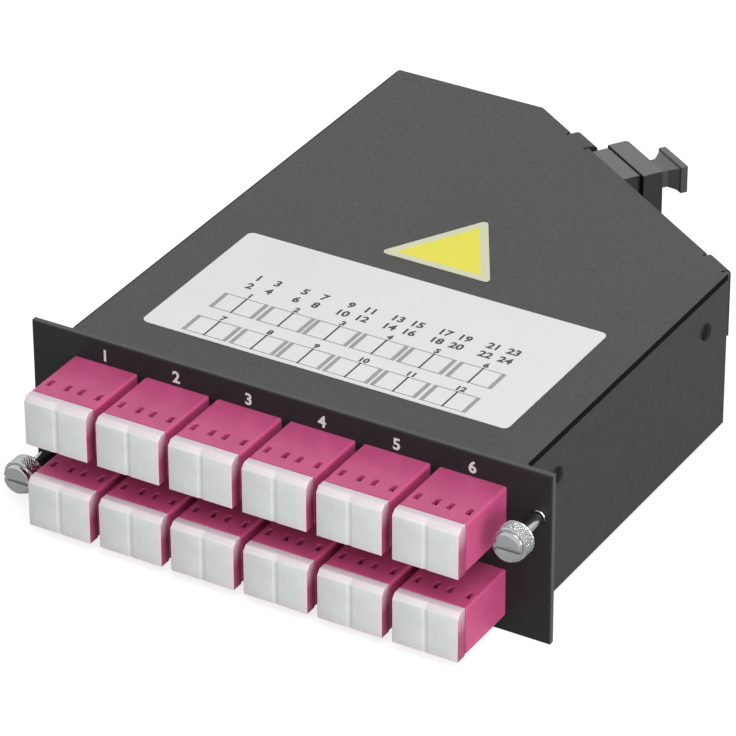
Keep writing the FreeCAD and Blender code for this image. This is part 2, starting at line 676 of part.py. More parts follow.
def mpo_plug():
    """Multi-fibre plug in the adapter's inner socket, with a tapered boot."""
    z = MPO_Z
    front = MPO_SOCKET_DEPTH - MPO_INNER_REACH - PLUG_CLEARANCE
    back = front - MPO_PLUG_LENGTH
    width = MPO_SOCKET_WIDTH - 2 * PLUG_CLEARANCE
    height = MPO_SOCKET_HEIGHT - 2 * PLUG_CLEARANCE
    body = centred_block(MPO_ALONG, z, width, height, back, front)
    boot = cone(MPO_ALONG, z, MPO_BOOT_TIP, MPO_BOOT_ROOT, back - MPO_BOOT_LENGTH, back)
    return on_chamfer(body.fuse(boot))


def tube_along(points, diameter):
    """A tube along straight runs joined by tangent arcs, each as large as its runs allow."""
    edges = []
    start = points[0]
    for before, corner, after in zip(points, points[1:], points[2:]):
        first = (before - corner).normalize()
        last = (after - corner).normalize()
        setback = BEND_SHARE * min((before - corner).Length, (after - corner).Length)
        half_turn = (math.pi - first.getAngle(last)) / 2
        radius = setback / math.tan(half_turn)
        middle = (first + last).normalize()
        sagitta = radius / math.cos(half_turn) - radius
        enter = corner + first * setback
        leave = corner + last * setback
        edges.append(Part.LineSegment(start, enter).toShape())
        edges.append(Part.Arc(enter, corner + middle * sagitta, leave).toShape())
        start = leave
    edges.append(Part.LineSegment(start, points[-1]).toShape())
    path = Part.Wire(edges)
    ring = Part.Wire(Part.makeCircle(diameter / 2, points[0], points[1] - points[0]))
    return path.makePipeShell([ring], True, False)


def trunk_points():
    """The fibre's way from the multi-fibre plug down to the loop on the floor."""
    turn = FreeCAD.Rotation(V(0, 0, 1), math.degrees(CHAMFER_ANGLE))
    plug_front = MPO_INNER_REACH - MPO_SOCKET_DEPTH + PLUG_CLEARANCE
    boot_end = plug_front + MPO_PLUG_LENGTH + MPO_BOOT_LENGTH
    corner = V(CHAMFER_START_X, HOUSING_DEPTH, MPO_Z)
    points = [corner + turn.multVec(V(MPO_ALONG, -boot_end - lead, 0)) for lead in (0, TRUNK_LEAD)]
    for angle, inside, rise in TRUNK_WAY:
        around = FreeCAD.Rotation(V(0, 0, 1), angle)
        points.append(loop_centre() + around.multVec(V(loop_radius() - inside, 0, rise)))
    return points


def fibre_loop():
    """The slack fibre: one ring on the floor, with the run that rises to the multi-fibre plug."""
    ring = Part.makeTorus(loop_radius(), LOOP_DIAMETER / 2, loop_centre(), V(0, 0, 1))
    return ring.fuse(tube_along(trunk_points(), TRUNK_DIAMETER))


def fibre_guides():
    """Four open blocks on the floor that hold the loop."""
    guides = []
    slot = LOOP_DIAMETER + 2 * GUIDE_CLEARANCE
    radius = loop_radius()
    centre = loop_centre()
    slot_floor = FLOOR_TOP + LOOP_ABOVE_FLOOR
    top = LOOP_HEIGHT + LOOP_DIAMETER / 2 + LOOP_ABOVE_FLOOR
    height = top - slot_floor + 1
    channel = Part.makeCylinder(radius + slot / 2, height, V(0, 0, slot_floor))
    channel = channel.cut(Part.makeCylinder(radius - slot / 2, height, V(0, 0, slot_floor)))
    for angle in GUIDE_ANGLES:
        guide = block(
            (radius - GUIDE_WIDTH / 2, -GUIDE_LENGTH / 2, FLOOR_TOP),
            (radius + GUIDE_WIDTH / 2, GUIDE_LENGTH / 2, top),
        )
        guide = guide.cut(channel)
        guide.Placement = FreeCAD.Placement(V(centre.x, centre.y, 0), FreeCAD.Rotation(V(0, 0, 1), angle))
        guides.append(guide)
    return Part.makeCompound([solid for guide in guides for solid in guide.Solids])


def port_label():
    """Plain rectangular label on the lid, above the ports."""
    half = LABEL_WIDTH / 2
    low = (LABEL_CENTRE_X - half, LABEL_FRONT_Y, LID_TOP)
    high = (LABEL_CENTRE_X + half, LABEL_FRONT_Y + LABEL_DEPTH, LID_TOP + LABEL_THICKNESS)
    return round_upright_edges(block(low, high), LABEL_CORNER_RADIUS)


def triangle_label():
    """Plain triangular label behind the port label, one corner to the rear."""
    half = TRIANGLE_SIDE / 2
    front = LABEL_FRONT_Y + LABEL_DEPTH + TRIANGLE_GAP
    corners = [(-half, front), (half, front), (0, front + TRIANGLE_SIDE * math.sin(math.pi / 3))]
    return round_upright_edges(prism(corners, LID_TOP, LID_TOP + LABEL_THICKNESS), TRIANGLE_CORNER_RADIUS)


def round_upright_edges(shape, radius):
    """Round a flat sheet's corners."""
    edges = [e for e in shape.Edges if not same(e.Vertexes[0].Z, e.Vertexes[1].Z)]
    return shape.makeFillet(radius, edges)


def all_parts():
    parts = {
        "front_plate": front_plate(),
        "base_tray": base_tray(),
        "lid": lid(),
        "lid_screws": lid_screws(),
        "mpo_adapter": mpo_adapter(),
        "mpo_dust_cap": mpo_dust_cap(),
        "mpo_plug": mpo_plug(),
        "fibre_loop": fibre_loop(),
        "fibre_guides": fibre_guides(),
        "port_label": port_label(),
        "triangle_label": triangle_label(),
    }
    for number, x, z in port_places():
        parts["lc_adapter_" + number] = lc_adapter(x, z)
        parts["lc_dust_cap_" + number] = lc_dust_cap(x, z)
        parts["lc_plug_pair_" + number] = lc_plug_pair(x, z)
    for side, x, z in screw_places():
        parts["thumb_screw_" + side] = thumb_screw(x, z)
        parts["retaining_ring_" + side] = retaining_ring(x, z)
    return parts


os.makedirs("parts", exist_ok=True)
for name, shape in all_parts().items():
    shape.exportStep("parts/%s.step" % name)
    print(name, len(shape.Solids), "solids", round(shape.Volume, 1), "mm3", shape.isValid())
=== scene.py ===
import bpy
import bmesh
import math
from mathutils import Matrix, Vector

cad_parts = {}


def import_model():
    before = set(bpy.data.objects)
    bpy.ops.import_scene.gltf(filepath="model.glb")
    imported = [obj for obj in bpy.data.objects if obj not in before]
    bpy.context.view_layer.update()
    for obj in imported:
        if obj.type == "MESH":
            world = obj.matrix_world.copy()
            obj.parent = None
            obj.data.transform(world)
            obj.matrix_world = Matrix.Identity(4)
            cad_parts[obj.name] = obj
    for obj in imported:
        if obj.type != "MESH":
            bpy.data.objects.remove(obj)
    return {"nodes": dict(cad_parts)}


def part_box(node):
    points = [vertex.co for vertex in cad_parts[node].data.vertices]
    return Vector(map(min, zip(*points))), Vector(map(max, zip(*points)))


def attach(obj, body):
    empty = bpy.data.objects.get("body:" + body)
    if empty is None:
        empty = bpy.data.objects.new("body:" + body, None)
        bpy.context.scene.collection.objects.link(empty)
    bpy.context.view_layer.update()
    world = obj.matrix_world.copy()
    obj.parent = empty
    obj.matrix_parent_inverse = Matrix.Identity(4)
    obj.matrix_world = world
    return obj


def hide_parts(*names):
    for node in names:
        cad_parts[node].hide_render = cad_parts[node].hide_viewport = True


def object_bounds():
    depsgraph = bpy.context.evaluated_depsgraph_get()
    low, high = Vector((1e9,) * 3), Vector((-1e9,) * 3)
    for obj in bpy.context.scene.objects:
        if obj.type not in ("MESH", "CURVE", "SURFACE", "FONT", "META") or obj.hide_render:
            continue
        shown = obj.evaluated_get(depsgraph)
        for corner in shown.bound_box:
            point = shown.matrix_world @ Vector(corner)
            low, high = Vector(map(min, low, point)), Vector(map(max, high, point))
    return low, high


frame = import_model()
CAD_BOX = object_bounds()
NODES = frame["nodes"]
ROOT = "housing"
MM = 0.001
PORTS = ["%02d" % number for number in range(1, 13)]
UPPER_PORTS = PORTS[:6]
SIDES = ("left", "right")


# Materials: a noise's scale is in features per metre, and its values keep to the middle of 0..1,
# so each remap of one names the part of that range it uses

class Surface:
    """A node material: a Principled shader with procedural colour, roughness and bump."""

    def __init__(self, name, colour, roughness, metallic=0.0, specular=0.5):
        self.material = bpy.data.materials.new(name)
        self.material.use_nodes = True
        self.tree = self.material.node_tree
        self.shader = self.tree.nodes["Principled BSDF"]
        self.shader.inputs["Base Color"].default_value = (*colour, 1)
        self.shader.inputs["Roughness"].default_value = roughness
        self.shader.inputs["Metallic"].default_value = metallic
        self.shader.inputs["Specular IOR Level"].default_value = specular
        place = self.node("ShaderNodeTexCoord")
        self.position = place.outputs["Object"]
        self.normal = place.outputs["Normal"]

    def node(self, kind, **settings):
        made = self.tree.nodes.new(kind)
        for key, value in settings.items():
            setattr(made, key, value)
        return made

    def link(self, out, socket):
        self.tree.links.new(out, socket)

    def math(self, operation, *values):
        made = self.node("ShaderNodeMath", operation=operation)
        for socket, value in zip(made.inputs, values):
            if isinstance(value, float):
                socket.default_value = value
            else:
                self.link(value, socket)
        return made.outputs["Value"]

    def part(self, vector, axis):
        """One coordinate of a vector output."""
        split = self.node("ShaderNodeSeparateXYZ")
        self.link(vector, split.inputs[0])
        return split.outputs[axis]

    def unsigned_part(self, vector, axis):
        """One coordinate of a vector output, without its sign."""
        return self.math("ABSOLUTE", self.part(vector, axis))

    def noise(self, scale, detail, stretch=(1, 1, 1)):
        """Noise with its features about 1/scale metres wide."""
        mapping = self.node("ShaderNodeMapping")
        mapping.inputs["Scale"].default_value = stretch
        self.link(self.position, mapping.inputs["Vector"])
        noise = self.node("ShaderNodeTexNoise")
        noise.inputs["Scale"].default_value = scale
        noise.inputs["Detail"].default_value = detail
        self.link(mapping.outputs["Vector"], noise.inputs["Vector"])
        return noise.outputs["Fac"]

    def remap(self, value, low, high, start=0.0, end=1.0):
        """A value from low..high moved to start..end."""
        ramp = self.node("ShaderNodeMapRange")
        ramp.inputs["From Min"].default_value = low
        ramp.inputs["From Max"].default_value = high
        ramp.inputs["To Min"].default_value = start
        ramp.inputs["To Max"].default_value = end
        self.link(value, ramp.inputs["Value"])
        return ramp.outputs["Result"]

    def mix(self, factor, first, second):
        """A colour between two colours or colour outputs."""
        mix = self.node("ShaderNodeMix", data_type="RGBA")
        self.link(factor, mix.inputs["Factor"])
        for socket, value in ((mix.inputs[6], first), (mix.inputs[7], second)):
            if isinstance(value, tuple):
                socket.default_value = (*value, 1)
            else:
                self.link(value, socket)
        return mix.outputs[2]

    def paint(self, colour):
        self.link(colour, self.shader.inputs["Base Color"])

    def painted(self):
        """The colour output that is painted on so far."""
        return self.shader.inputs["Base Color"].links[0].from_socket

    def roughen(self, noise, low, high, smoothest, roughest):
        """Roughness that drifts between two values with a noise."""
        varied = self.remap(noise, low, high, smoothest, roughest)
        self.link(varied, self.shader.inputs["Roughness"])

    def bump(self, height, depth, strength):
        """Surface relief of a depth in metres."""
        bump = self.node("ShaderNodeBump")
        bump.inputs["Strength"].default_value = strength
        bump.inputs["Distance"].default_value = depth
        self.link(height, bump.inputs["Height"])
        self.link(bump.outputs["Normal"], self.shader.inputs["Normal"])

    def edges(self, radius, low=0.02, high=0.25):
        """Mask that is 1 on convex and concave edges and 0 on flat faces."""
        bevel = self.node("ShaderNodeBevel", samples=4)
        bevel.inputs["Radius"].default_value = radius
        geometry = self.node("ShaderNodeNewGeometry")
        dot = self.node("ShaderNodeVectorMath", operation="DOT_PRODUCT")
        self.link(bevel.outputs["Normal"], dot.inputs[0])
        self.link(geometry.outputs["Normal"], dot.inputs[1])
        return self.remap(dot.outputs["Value"], 1 - low, 1 - high)


def grey(level):
    return (level, level, level)


def times(colour, factor):
    return tuple(min(1.0, channel * factor) for channel in colour)


def powder_coat(name, colour, roughness, specular, axis="Z", painted_light_side_colour=None):
    """Fine powder coat, a little worn along its edges.

    Faces that look along the axis have the colour, and the others a side colour of painted
    light: painted shade where it is darker than the colour, a painted highlight where it is paler.
    """
    surface = Surface(name, colour, roughness, specular=specular)
    mottle = surface.remap(surface.noise(40, detail=4), 0.3, 0.7)
    tone = surface.mix(mottle, times(colour, 0.88), times(colour, 1.12))
    speckle = surface.remap(surface.noise(2600, detail=2), 0.62, 0.8, 0, 0.35)
    tone = surface.mix(speckle, tone, times(colour, 2.0))
    # Painted light: faces that look away from the axis take the side colour, as painted shade when
    # it is darker and a painted highlight when it is paler.
    if painted_light_side_colour:
        painted_light_sides = surface.remap(surface.unsigned_part(surface.normal, axis), 0.6, 0.4)
        tone = surface.mix(painted_light_sides, tone, painted_light_side_colour)
    rubbed = surface.remap(surface.noise(300, detail=5), 0.42, 0.62, 0.1, 0.6)
    wear = surface.math("MULTIPLY", surface.edges(0.25 * MM), rubbed)
    surface.paint(surface.mix(wear, tone, times(colour, 3.2)))
    surface.roughen(surface.noise(900, detail=3), 0.25, 0.75, roughness - 0.06, roughness + 0.08)
    surface.bump(surface.noise(2200, detail=3), 0.02 * MM, 0.55)
    return surface


def moulded(name, colour, roughness, specular=0.5):
    """Moulded plastic with a fine spark-eroded texture."""
    surface = Surface(name, colour, roughness, specular=specular)
    mottle = surface.remap(surface.noise(160, detail=3), 0.3, 0.7)
    surface.paint(surface.mix(mottle, times(colour, 0.92), times(colour, 1.06)))
    surface.roughen(surface.noise(1800, detail=2), 0.2, 0.8, roughness - 0.05, roughness + 0.1)
    surface.bump(surface.noise(5200, detail=2), 0.01 * MM, 0.4)
    return surface


def top_lit_plastic(name, colour, painted_top_highlight, roughness, specular):
    """Moulded plastic with a painted highlight: a paler colour painted on the faces that look up,
    where more light falls.
    """
    surface = moulded(name, colour, roughness, specular)
    # Painted highlight on the faces that look up.
    painted_highlight_on_top = surface.remap(surface.part(surface.normal, "Z"), 0.6, 0.9)
    surface.paint(surface.mix(painted_highlight_on_top, surface.painted(), painted_top_highlight))
    return surface


# Where a dust cap's pad takes a painted glint near the edges of its face and painted shade on its
# sides, from the middle of its front face

RIM_ACROSS = (4.8 * MM, 6.3 * MM)
RIM_UPRIGHT = (3.4 * MM, 4.7 * MM)
PAINTED_SHADE_FADE = (4.2 * MM, 0.0)
PAD_FADE = (2.7 * MM, 2.5 * MM)


def milky_plastic(name, colour, painted_glint_colour, painted_light_side_colour):
    """Slightly see-through plastic with painted light: a painted pink glint near the edges of its
    face, and on its sides painted shade with a painted violet reflection of the adapters beside and
    behind it, growing towards the bottom.
    """
    surface = moulded(name, colour, roughness=0.34)
    # Painted pink glint in a band along the edges of the face.
    across = surface.remap(surface.unsigned_part(surface.position, "X"), *RIM_ACROSS)
    upright = surface.remap(surface.unsigned_part(surface.position, "Z"), *RIM_UPRIGHT)
    painted_glint = surface.math("MULTIPLY", surface.math("MAXIMUM", across, upright), 0.8)
    body = surface.mix(painted_glint, surface.painted(), painted_glint_colour)
    # Painted shade and painted violet reflection on the sides of the pad, growing towards the
    # bottom.
    painted_light_sides = surface.remap(surface.unsigned_part(surface.normal, "X"), 0.45, 0.85)
    shade_towards_bottom = surface.remap(surface.part(surface.position, "Z"), *PAINTED_SHADE_FADE, 0.45, 1.0)
    pad = surface.remap(surface.part(surface.position, "Y"), *PAD_FADE)
    painted_side_shade = surface.math("MULTIPLY", surface.math("MULTIPLY", painted_light_sides, shade_towards_bottom), pad)
    surface.paint(surface.mix(painted_side_shade, body, painted_light_side_colour))
    surface.shader.inputs["Subsurface Weight"].default_value = 0.35
    surface.shader.inputs["Subsurface Radius"].default_value = (1.0, 0.8, 0.85)
    surface.shader.inputs["Subsurface Scale"].default_value = 1.2 * MM
    return surface


def plated_steel(name, colour, roughness):
    """Bright plated steel with fine turning marks round the Y axis."""
    surface = Surface(name, colour, roughness, metallic=1.0)
    mottle = surface.remap(surface.noise(700, detail=4), 0.35, 0.75)
    surface.paint(surface.mix(mottle, times(colour, 0.85), colour))
    surface.roughen(surface.noise(1500, detail=3), 0.25, 0.75, roughness - 0.06, roughness + 0.12)
    surface.bump(surface.noise(400, detail=2, stretch=(1, 24, 1)), 0.006 * MM, 0.6)
    return surface


def paper(name, colour, roughness=0.55):
    """Printed film label with a faint fibre grain."""
    surface = Surface(name, colour, roughness, specular=0.35)
    mottle = surface.remap(surface.noise(90, detail=5), 0.3, 0.7)
    surface.paint(surface.mix(mottle, times(colour, 0.97), colour))
    surface.roughen(surface.noise(700, detail=3), 0.25, 0.75, roughness - 0.05, roughness + 0.1)
    surface.bump(surface.noise(1500, detail=4, stretch=(1, 0.4, 1)), 0.01 * MM, 0.3)
    return surface


def ink(name, colour):
    """Printing ink, thin where the print is uneven."""
    surface = Surface(name, colour, roughness=0.5)
    thin = surface.remap(surface.noise(1500, detail=4), 0.5, 0.8, 0, 0.35)
    surface.paint(surface.mix(thin, colour, times(colour, 2.2)))
    surface.bump(surface.noise(3000, detail=2), 0.004 * MM, 0.3)
    return surface


# The housing's side colour, darker than its top, is painted shade on the faces that don't look up
# or down.
housing_coat = powder_coat("housing_coat", grey(0.021), 0.46, 0.66, "Z", grey(0.010))
# The plate's colour, darker than the housing's coat, is painted shade on its front; its paler side
# colour is a painted highlight on the faces that don't look forward or back.
plate_coat = powder_coat("plate_coat", (0.011, 0.013, 0.0125), 0.5, 0.32, "Y", grey(0.075))
violet = moulded("adapter_violet", (0.57, 0.084, 0.225), 0.38)
milky = milky_plastic(
    "cap_white",
    colour=(0.69, 0.72, 0.705),
    # The glint colour is a painted pink highlight; the side colour is painted shade with a painted
    # violet reflection of the adapters.
    painted_glint_colour=(0.75, 0.64, 0.695),
    painted_light_side_colour=(0.38, 0.07, 0.165),
)
# Each second colour is a painted highlight on the faces that look up.
dark_plastic = top_lit_plastic("mpo_plastic", grey(0.004), grey(0.10), 0.3, 0.75)
cap_plastic = top_lit_plastic("mpo_cap_plastic", grey(0.045), grey(0.11), 0.4, 0.6)
plug_plastic = moulded("plug_plastic", (0.05, 0.05, 0.052), 0.4)
guide_plastic = moulded("guide_plastic", grey(0.05), 0.5)
jacket = moulded("fibre_jacket", (0.56, 0.06, 0.26), 0.45)
chrome = plated_steel("screw_steel", (0.57, 0.58, 0.59), 0.12)
ring_steel = plated_steel("ring_steel", (0.55, 0.56, 0.57), 0.3)
black_steel = powder_coat("screw_black", grey(0.004), 0.5, 0.15)
white_paper = paper("label_white", grey(0.85))
yellow_paper = paper("label_margin", (0.74, 0.75, 0.55))
yellow_ink = paper("label_yellow", (0.90, 0.84, 0.09), 0.4)
dark_ink = ink("ink_dark", (0.04, 0.04, 0.045))
grey_ink = ink("ink_grey", (0.32, 0.33, 0.34))
white_ink = ink("ink_white", (0.62, 0.63, 0.63))
# Near-black matte film that paints the shade of the gap along the lid's long edges.
painted_seam_shade = Surface("painted_seam_shade", grey(0.004), roughness=0.9, specular=0.08)
painted_seam_shade.bump(painted_seam_shade.noise(1800, detail=3), 0.01 * MM, 0.4)


# CAD nodes keep their shape: eased edges and a material

WELD_REACH = 0.001 * MM
FLAT_ANGLE = math.radians(0.5)
EASED_ANGLE = math.radians(35)


def finish_node(name, surface, ease=0.0):
    """Gives a CAD node its material, and eases its edges by a width in millimetres."""
    node = NODES[name]
    node.data.materials.clear()
    node.data.materials.append(surface.material)
    if not ease:
        return
    weld = node.modifiers.new("weld", "WELD")
    weld.merge_threshold = WELD_REACH
    flat = node.modifiers.new("flat", "DECIMATE")
    flat.decimate_type = "DISSOLVE"
    flat.angle_limit = FLAT_ANGLE
    bevel = node.modifiers.new("ease", "BEVEL")
    bevel.width = ease * MM
    bevel.segments = 2
    bevel.limit_method = "ANGLE"
    bevel.angle_limit = EASED_ANGLE
    node.modifiers.new("normals", "WEIGHTED_NORMAL")


finish_node("front_plate", plate_coat, 0.12)
finish_node("base_tray", housing_coat, 0.1)
finish_node("lid", housing_coat, 0.1)
finish_node("mpo_adapter", dark_plastic, 0.15)
finish_node("mpo_dust_cap", cap_plastic, 0.25)
finish_node("mpo_plug", plug_plastic, 0.15)
finish_node("fibre_loop", jacket)
finish_node("fibre_guides", guide_plastic, 0.2)
finish_node("port_label", white_paper)
finish_node("triangle_label", yellow_paper)
for port in PORTS:
    finish_node("lc_adapter_" + port, violet, 0.1)
    finish_node("lc_dust_cap_" + port, milky)
    finish_node("lc_plug_pair_" + port, plug_plastic, 0.1)
for side in SIDES:
    finish_node("retaining_ring_" + side, ring_steel, 0.05)
    finish_node("thumb_screw_" + side, chrome)
finish_node("lid_screws", black_steel)


# Pieces made here, with their points in millimetres and the angles between faces in degrees

CUT_MARGIN = 1
EASED_FROM = 20
SMOOTHED_BELOW = 40


def in_scene(name, data):
    made = bpy.data.objects.new(name, data)
    bpy.context.scene.collection.objects.link(made)
    return made


def as_piece(name, mesh, surface, body, place=Matrix.Identity(4)):
    """A new piece from a mesh, placed by a matrix and riding on a body."""
    made = in_scene(name, mesh)
    made.matrix_world = place
    mesh.materials.clear()
    mesh.materials.append(surface.material)
    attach(made, body)
    return made


def front_middle(low, high):
    """The place in the middle of a box's front face."""
    return Matrix.Translation(((low.x + high.x) / 2, low.y, (low.z + high.z) / 2))


def vertex(shape, x, y, z=0):
    return shape.verts.new(Vector((x, y, z)) * MM)


def mesh_of(shape, name):
    """The mesh of a finished bmesh, which is freed."""
    mesh = bpy.data.meshes.new(name)
    shape.to_mesh(mesh)
    shape.free()
    return mesh


def joined(name, meshes):
    """One mesh of several, which are removed."""
    shape = bmesh.new()
    for mesh in meshes:
        shape.from_mesh(mesh)
        bpy.data.meshes.remove(mesh)
    return mesh_of(shape, name)


def add_box(shape, middle, size):
    """A box about its middle, in metres, added to a bmesh."""
    matrix = Matrix.Translation(middle) @ Matrix.Diagonal((*size, 1))
    bmesh.ops.create_cube(shape, size=1, matrix=matrix)


def lathe(name, rows, segments, relief=lambda y, angle: 0.0):
    """A turned mesh about the Y axis from (radius, y) rows, with relief cut into it."""
    shape = bmesh.new()
    rings = []
    for radius, y in rows:
        ring = []
        for step in range(segments if radius else 1):
            angle = 2 * math.pi * step / segments
            here = max(radius - relief(y, angle), 0)
            ring.append(vertex(shape, here * math.cos(angle), y, here * math.sin(angle)))
        rings.append(ring)
    for first, last in zip(rings, rings[1:]):
        for step in range(segments):
            near = [first[step % len(first)], first[(step + 1) % len(first)]]
            far = [last[(step + 1) % len(last)], last[step % len(last)]]
            shape.faces.new(list(dict.fromkeys(near + far)))
    bmesh.ops.recalc_face_normals(shape, faces=shape.faces)
    return mesh_of(shape, name)


def evaluated(made):
    """The mesh that an object has after its modifiers."""
    bpy.context.view_layer.update()
    depsgraph = bpy.context.evaluated_depsgraph_get()
    return bpy.data.meshes.new_from_object(made.evaluated_get(depsgraph))


def cut(mesh, blocks):
    """The mesh with boxes, each a low and a high corner, cut out of it."""
    shape = bmesh.new()
    for low, high in blocks:
        low, high = Vector(low) * MM, Vector(high) * MM
        add_box(shape, (low + high) / 2, high - low)
    cutter = in_scene("cutter", mesh_of(shape, "cutter"))
    whole = in_scene("whole", mesh)
    modifier = whole.modifiers.new("cut", "BOOLEAN")
    modifier.object = cutter
    modifier.solver = "EXACT"
    result = evaluated(whole)
    for made in (cutter, whole):
        bpy.data.objects.remove(made)
    return result


def smooth_by_angle(mesh, degrees):
    for polygon in mesh.polygons:
        polygon.use_smooth = True
    mesh.set_sharp_from_angle(angle=math.radians(degrees))


def eased(mesh, width):
    """The mesh with its sharp edges rounded by a width."""
    made = in_scene("eased", mesh)
    ease = made.modifiers.new("ease", "BEVEL")
    ease.width = width * MM
    ease.segments = 3
    ease.limit_method = "ANGLE"
    ease.angle_limit = math.radians(EASED_FROM)
    result = evaluated(made)
    bpy.data.objects.remove(made)
    smooth_by_angle(result, SMOOTHED_BELOW)
    return result


def steps(low, high, count):
    return [low + (high - low) * index / count for index in range(count + 1)]


# Duplex dust caps, measured from the middle of the front face

CAP_HALF_WIDTH = 6.3
CAP_HALF_HEIGHT = 4.75
CAP_BACK = 2.5
CAP_BEVEL = 0.9
CAP_ROUNDING = 0.3
CAP_GROOVE = ((0.55, 0), (0.25, 0.13))
PEG_SPACING = 6.25
PEG_DROP = 0.7
PEG_HALF = 2.3
PEG_WALL = 0.7
PEG_END = 10.1
PEG_ROUNDING = 0.15


def pads_mesh():
    """Two pads with a shallow groove between them and a bevelled top."""
    side = [
        (CAP_BACK, -CAP_HALF_HEIGHT),
        (0, -CAP_HALF_HEIGHT),
        (0, CAP_HALF_HEIGHT - CAP_BEVEL),
        (CAP_BEVEL, CAP_HALF_HEIGHT),
        (CAP_BACK, CAP_HALF_HEIGHT),
    ]
    right = [(CAP_HALF_WIDTH, 0), *CAP_GROOVE]
    left = [(-x, sink) for x, sink in right]
    shape = bmesh.new()
    rows = []
    for x, sink in left + right[::-1]:
        points = [(y + (sink if y < CAP_BACK else 0), z) for y, z in side]
        rows.append([vertex(shape, x, y, z) for y, z in points])
    shape.faces.new(rows[0])
    shape.faces.new(rows[-1][::-1])
    for first, last in zip(rows, rows[1:]):
        for index in range(len(side)):
            after = (index + 1) % len(side)
            shape.faces.new((first[index], last[index], last[after], first[after]))
    bmesh.ops.recalc_face_normals(shape, faces=shape.faces)
    return eased(mesh_of(shape, "pads"), CAP_ROUNDING)


def pegs_mesh():
    """Two pegs, hollow and open at the back."""
    hollow = PEG_HALF - PEG_WALL
    size = Vector((2 * PEG_HALF, PEG_END - CAP_BACK, 2 * PEG_HALF)) * MM
    shape = bmesh.new()
    pockets = []
    for x in (-PEG_SPACING / 2, PEG_SPACING / 2):
        add_box(shape, Vector((x, (CAP_BACK + PEG_END) / 2, -PEG_DROP)) * MM, size)
        low = (x - hollow, CAP_BACK + PEG_WALL, -PEG_DROP - hollow)
        pockets.append((low, (x + hollow, PEG_END + CUT_MARGIN, hollow - PEG_DROP)))
    return eased(cut(mesh_of(shape, "pegs"), pockets), PEG_ROUNDING)


cap_mesh = joined("dust_cap", [pads_mesh(), pegs_mesh()])
for port in PORTS:
    place = front_middle(*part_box("lc_dust_cap_" + port))
    name = "dust_cap_" + port
    cap = as_piece(name, cap_mesh.copy(), milky, "lc_cap_" + port, place)
    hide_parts("lc_dust_cap_" + port)


# Captive screws: radii, and distances from the nose's front face

NOSE_RADIUS = 2.7
NOSE_END = 1.0
NOSE_ROUNDING = ((0.35, 0), (0.2, 0.06), (0.06, 0.16), (0, 0.32))
HEAD_RADIUS = 3.2
HEAD_END = 4.2
HEAD_ROUNDING = ((0.3, 0), (0.12, 0.08), (0, 0.3))
COLLAR_RADIUS = 2.2
COLLAR_END = 5.2
COLLAR_CHAMFER = 0.12
SHANK_RADIUS = 1.2
NECK_END = 10.9
NECK_TAPER = 0.3
GROOVE_RADIUS = 1.1
GROOVE = (12.05, 12.75)
THREAD_RADIUS = 1.5
THREAD = (12.9, 14.0)
THREAD_PITCH = 0.5
THREAD_DEPTH = 0.26
THREAD_ROWS = 16
TIP = 14.5
TIP_ROUNDING = ((0.1, 0.4), (0.5, 0))
SCREW_SEGMENTS = 180
KNURLS = 34
KNURL_MARGIN = 0.4
KNURL_DEPTH = 0.13
KNURL_WIDTH = 0.55
KNURL_ROWS = 26
SLOT_DEPTH = 0.8
SLOT_HALF_WIDTH = 0.4
SLOT_REACH = 4
CORNER_STEP = 0.02
SCREW_SMOOTHED_BELOW = 32


def screw_relief(y, angle):
    """Depth of the diamond knurling round the head and of the thread near the tip."""
    turn = angle / (2 * math.pi)
    if NOSE_END + KNURL_MARGIN < y < HEAD_END - KNURL_MARGIN:
        rise = y * KNURLS / (2 * math.pi * HEAD_RADIUS)
        ridges = [abs((KNURLS * turn + way * rise) % 1.0 - 0.5) * 2 for way in (-1, 1)]
        return KNURL_DEPTH * (1 - min(1.0, min(ridges) / KNURL_WIDTH))
    if THREAD[0] < y < THREAD[1]:
        return THREAD_DEPTH * (1 - abs(((y / THREAD_PITCH - turn) % 1.0) * 2 - 1))
    return 0.0


def thumb_screw_mesh():
    rows = [(0, 0), (SHANK_RADIUS, 0)]
    rows += [(NOSE_RADIUS - inset, back) for inset, back in NOSE_ROUNDING]
    rows += [(NOSE_RADIUS, NOSE_END)]
    rows += [(HEAD_RADIUS - inset, NOSE_END + back) for inset, back in HEAD_ROUNDING]
    knurled = steps(NOSE_END + KNURL_MARGIN, HEAD_END - KNURL_MARGIN, KNURL_ROWS)
    rows += [(HEAD_RADIUS, y) for y in knurled]
    rows += [(HEAD_RADIUS - inset, HEAD_END - back) for inset, back in reversed(HEAD_ROUNDING)]
    rows += [(COLLAR_RADIUS, HEAD_END), (COLLAR_RADIUS, HEAD_END + CORNER_STEP)]
    rows += [(COLLAR_RADIUS, COLLAR_END - COLLAR_CHAMFER)]
    rows += [(COLLAR_RADIUS - COLLAR_CHAMFER, COLLAR_END), (SHANK_RADIUS, COLLAR_END)]
    rows += [(SHANK_RADIUS, COLLAR_END + CORNER_STEP), (SHANK_RADIUS, NECK_END)]
    rows += [(THREAD_RADIUS, NECK_END + NECK_TAPER), (THREAD_RADIUS, GROOVE[0])]
    rows += [(GROOVE_RADIUS, GROOVE[0]), (GROOVE_RADIUS, GROOVE[1]), (THREAD_RADIUS, GROOVE[1])]
    rows += [(THREAD_RADIUS, y) for y in steps(*THREAD, THREAD_ROWS)]
    rows += [(THREAD_RADIUS - inset, TIP - back) for inset, back in TIP_ROUNDING]
    rows += [(0, TIP)]
    mesh = lathe("thumb_screw", rows, SCREW_SEGMENTS, screw_relief)
    low = (-SLOT_REACH, -CUT_MARGIN, -SLOT_HALF_WIDTH)
    mesh = cut(mesh, [(low, (SLOT_REACH, SLOT_DEPTH, SLOT_HALF_WIDTH))])
    smooth_by_angle(mesh, SCREW_SMOOTHED_BELOW)
    return mesh


